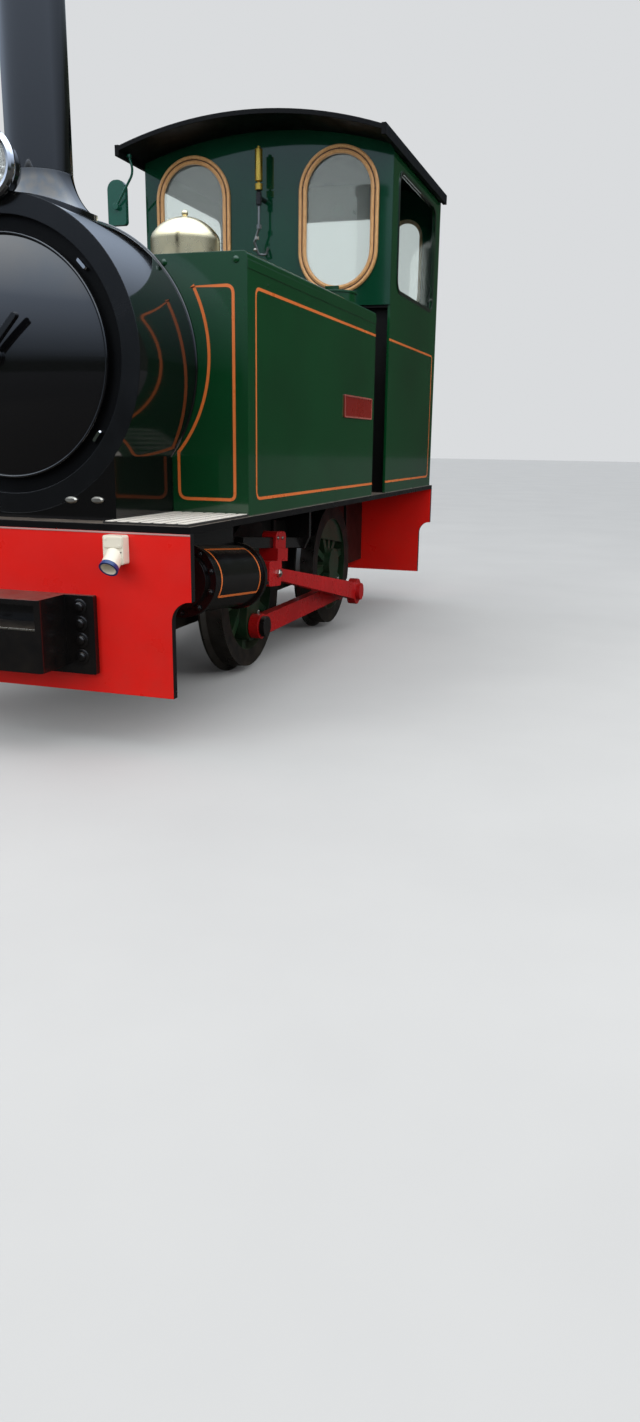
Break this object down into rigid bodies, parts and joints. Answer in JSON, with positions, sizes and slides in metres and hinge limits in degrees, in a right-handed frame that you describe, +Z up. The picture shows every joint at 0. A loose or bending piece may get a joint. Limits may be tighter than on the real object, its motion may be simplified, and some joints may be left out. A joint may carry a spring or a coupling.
{
  "type": "narrow-gauge side-tank steam locomotive",
  "caption": "Small narrow-gauge side-tank steam locomotive with outside cylinders, coupled spoked wheels, tall chimney, steam dome, arched cab and centre couplers.",
  "frame": {"origin": "centreline of the locomotive, midway between the axles, on the floor that the wheel flanges stand on; the rail tops are 22 mm above it", "axes": "+Y towards the cab end, the front faces -Y, +X the side whose crank is near its lowest point, +Z up"},
  "size_m": [1.432, 3.65, 2.502],
  "materials": {
    "tank_green": "gloss",
    "wheel_green": "satin",
    "black_gloss": "gloss",
    "black_satin": "satin",
    "beam_red": "satin",
    "polished_brass": "polished",
    "window_frame": "satin",
    "pane_glass": "clear",
    "pale_metal": "satin",
    "cream": "gloss",
    "mirror_case": "gloss",
    "floor_board": "matt"
  },
  "bodies": {
    "engine": {"cylinders": "black_satin", "slide_bars": "black_satin", "main_frames": "black_satin", "buffer_beams": "beam_red", "couplers": "black_satin", "running_plate": "black_satin", "front_tread_plates": "pale_metal", "smokebox_saddle": "black_gloss", "smokebox": "black_gloss", "boiler": "black_satin", "chimney_base": "black_gloss", "chimney": "black_gloss", "steam_dome": "polished_brass", "safety_valves": "polished_brass", "headlamp": "black_gloss", "headlamp_lens": "pane_glass", "side_tanks": "tank_green", "cab_roof": "black_gloss", "cab_front_sheet": "tank_green", "cab_apron": "black_satin", "cab_sides": "tank_green", "cab_rear_sheet": "tank_green", "cab_floor": "floor_board", "window_frames": "window_frame", "window_panes": "pane_glass", "whistle": "polished_brass", "mirror": "mirror_case", "lamp_socket": "cream", "axleboxes_and_springs": "black_satin", "brake_gear": "black_satin", "ashpan": "black_satin", "backhead_fittings": "black_satin"},
    "front_wheels": {"front_wheelset": "wheel_green"},
    "rear_wheels": {"rear_wheelset": "wheel_green"},
    "left_rod": {"left_coupling_rod": "beam_red"},
    "right_rod": {"right_coupling_rod": "beam_red"},
    "left_slider": {"left_crosshead": "beam_red"},
    "right_slider": {"right_crosshead": "beam_red"},
    "left_main_rod": {"left_connecting_rod": "beam_red"},
    "right_main_rod": {"right_connecting_rod": "beam_red"},
    "smokebox_door": {"smokebox_door": "black_gloss"},
    "cab_door": {"cab_door": "tank_green"},
    "left_lid": {"left_filler_lid": "tank_green"},
    "right_lid": {"right_filler_lid": "tank_green"},
    "fire_door": {"firehole_door": "black_satin"}
  },
  "joints": [
    {"name": "front_axle_spin", "type": "hinge", "parent": "engine", "child": "front_wheels", "pos_m": [0, -0.55, 0.322], "axis": [1, 0, 0], "continuous": true},
    {"name": "rear_axle_spin", "type": "hinge", "parent": "engine", "child": "rear_wheels", "pos_m": [0, 0.55, 0.322], "axis": [1, 0, 0], "continuous": true},
    {"name": "left_rod_turn", "type": "hinge", "parent": "front_wheels", "child": "left_rod", "pos_m": [0.405, -0.56809, 0.19327], "axis": [1, 0, 0], "continuous": true},
    {"name": "right_rod_turn", "type": "hinge", "parent": "front_wheels", "child": "right_rod", "pos_m": [-0.405, -0.42127, 0.30391], "axis": [1, 0, 0], "continuous": true},
    {"name": "left_crosshead_slide", "type": "slide", "parent": "engine", "child": "left_slider", "axis": [0, 0.9963, -0.0857], "range_m": [-0.1299, 0.1301]},
    {"name": "right_crosshead_slide", "type": "slide", "parent": "engine", "child": "right_slider", "axis": [0, 0.9963, -0.0857], "range_m": [-0.25983, 0.00017]},
    {"name": "left_main_rod_swing", "type": "hinge", "parent": "left_slider", "child": "left_main_rod", "pos_m": [0.495, -0.67159, 0.42706], "axis": [1, 0, 0], "range_deg": [-0.01, 12.16]},
    {"name": "right_main_rod_swing", "type": "hinge", "parent": "right_slider", "child": "right_main_rod", "pos_m": [-0.495, -0.54214, 0.41592], "axis": [1, 0, 0], "range_deg": [-5.76, 6.41]},
    {"name": "smokebox_door_swing", "type": "hinge", "parent": "engine", "child": "smokebox_door", "pos_m": [-0.375, -1.618, 1.152], "axis": [0, 0, -1], "range_deg": [0, 110]},
    {"name": "cab_door_swing", "type": "hinge", "parent": "engine", "child": "cab_door", "pos_m": [-0.248, 1.603, 1.1555], "axis": [0, 0, -1], "range_deg": [0, 90]},
    {"name": "left_lid_lift", "type": "hinge", "parent": "engine", "child": "left_lid", "pos_m": [0.523, 0.166, 1.536], "axis": [-1, 0, 0], "range_deg": [0, 100]},
    {"name": "right_lid_lift", "type": "hinge", "parent": "engine", "child": "right_lid", "pos_m": [-0.523, 0.166, 1.536], "axis": [-1, 0, 0], "range_deg": [0, 100]},
    {"name": "firehole_door_swing", "type": "hinge", "parent": "engine", "child": "fire_door", "pos_m": [-0.146, 0.774, 0.893], "axis": [0, 0, 1], "range_deg": [0, 100]}
  ],
  "couplings": [
    {"joint": "rear_axle_spin", "follows": "front_axle_spin", "ratio": 1},
    {"joint": "left_rod_turn", "follows": "front_axle_spin", "ratio": -1},
    {"joint": "right_rod_turn", "follows": "front_axle_spin", "ratio": -1}
  ]
}
